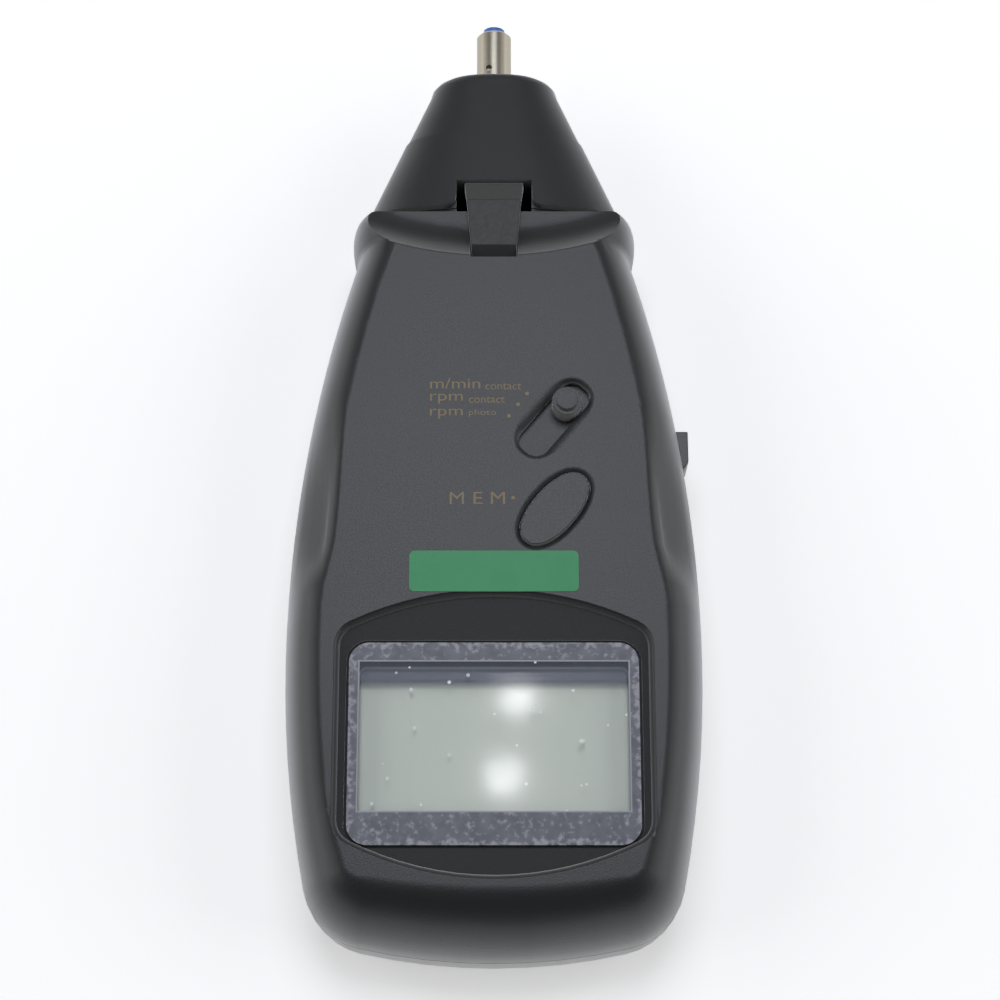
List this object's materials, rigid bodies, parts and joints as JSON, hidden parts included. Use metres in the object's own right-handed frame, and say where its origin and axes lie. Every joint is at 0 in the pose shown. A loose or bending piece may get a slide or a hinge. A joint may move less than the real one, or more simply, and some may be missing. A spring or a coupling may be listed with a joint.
{
  "type": "laser tachometer",
  "caption": "Hand-held photo and contact tachometer: tapered case with display window, mode slide, buttons and battery cover, and a clip-on adapter carrying a spinning shaft.",
  "frame": {"origin": "middle of the box that holds the instrument, on the surface its back rests on", "axes": "+X to the right seen from the front, +Y along the instrument to the shaft, +Z out of the face"},
  "size_m": [0.076, 0.184, 0.0322],
  "materials": {
    "front_case": "fine spark-textured charcoal moulding",
    "rear_case": "fine spark-textured black moulding",
    "adapter": "fine-textured black moulding",
    "clip": "satin warm grey moulding",
    "button": "smooth satin black moulding",
    "window": "clear sheet with a printed dark border under its film",
    "lcd": "blank grey-green reflective display",
    "holder": "natural white moulding",
    "strip": "layered elastomer contact strip",
    "board": "green lacquered circuit board",
    "chip": "black moulded package",
    "switch_metal": "pressed steel case",
    "brass": "turned barrel",
    "red_window": "tinted clear optics window",
    "cell": "plain sleeved cell",
    "plated": "bright plated steel",
    "shaft": "satin turned steel",
    "plug": "blue moulded plug",
    "label": "green self-adhesive label, left blank"
  },
  "bodies": {
    "housing": {"front_housing": "front_case", "rear_housing": "rear_case", "display_window": "window", "lcd_panel": "lcd", "lcd_holder": "holder", "contact_strips": "strip", "main_board": "board", "controller_chip": "chip", "mode_switch": "switch_metal", "memory_switch": "chip", "measure_switch": "chip", "laser_module": "brass", "photo_sensor": "chip", "optics_panel": "rear_case", "optics_window": "red_window", "battery_cells": "cell", "battery_springs": "plated", "battery_contacts": "plated", "case_screws": "plated", "board_screws": "plated", "front_label": "label"},
    "cover": {"battery_cover": "rear_case"},
    "mode": {"mode_knob": "button", "mode_lever": "button"},
    "memory": {"memory_button": "button"},
    "measure": {"measure_button": "rear_case"},
    "adapter": {"adapter_base": "adapter", "adapter_nose": "adapter", "clip_pin": "plated", "front_bearing": "plated", "rear_bearing": "plated", "adapter_screws": "plated"},
    "clip": {"adapter_clip": "clip"},
    "shaft": {"drive_shaft": "shaft", "shaft_plug": "plug", "encoder_disc": "chip", "retaining_ring": "plated"}
  },
  "joints": [
    {"name": "mode_slide", "type": "slide", "parent": "housing", "child": "mode", "axis": [-0.6428, -0.766, 0], "range_m": [0, 0.0054]},
    {"name": "memory_press", "type": "slide", "parent": "housing", "child": "memory", "axis": [0, 0, -1], "range_m": [0, 0.0008], "stiffness_N_per_m": 1500, "springref_m": -0.0004},
    {"name": "measure_press", "type": "slide", "parent": "housing", "child": "measure", "axis": [-1, 0, 0], "range_m": [0, 0.0008], "stiffness_N_per_m": 1500, "springref_m": -0.0004},
    {"name": "cover_slide", "type": "slide", "parent": "housing", "child": "cover", "axis": [0, -1, 0], "range_m": [0, 0.02]},
    {"name": "adapter_pull", "type": "slide", "parent": "housing", "child": "adapter", "axis": [0, 1, 0], "range_m": [0, 0.012]},
    {"name": "clip_lift", "type": "hinge", "parent": "adapter", "child": "clip", "pos_m": [0, 0.0568, 0.0216], "axis": [-1, 0, 0], "range_deg": [0, 6.2]},
    {"name": "shaft_spin", "type": "hinge", "parent": "adapter", "child": "shaft", "pos_m": [0, 0.05, 0.015], "axis": [0, 1, 0], "continuous": true}
  ],
  "couplings": [
    {"joint": "clip_lift", "follows": "adapter_pull", "rad_per_m": 8.726}
  ]
}
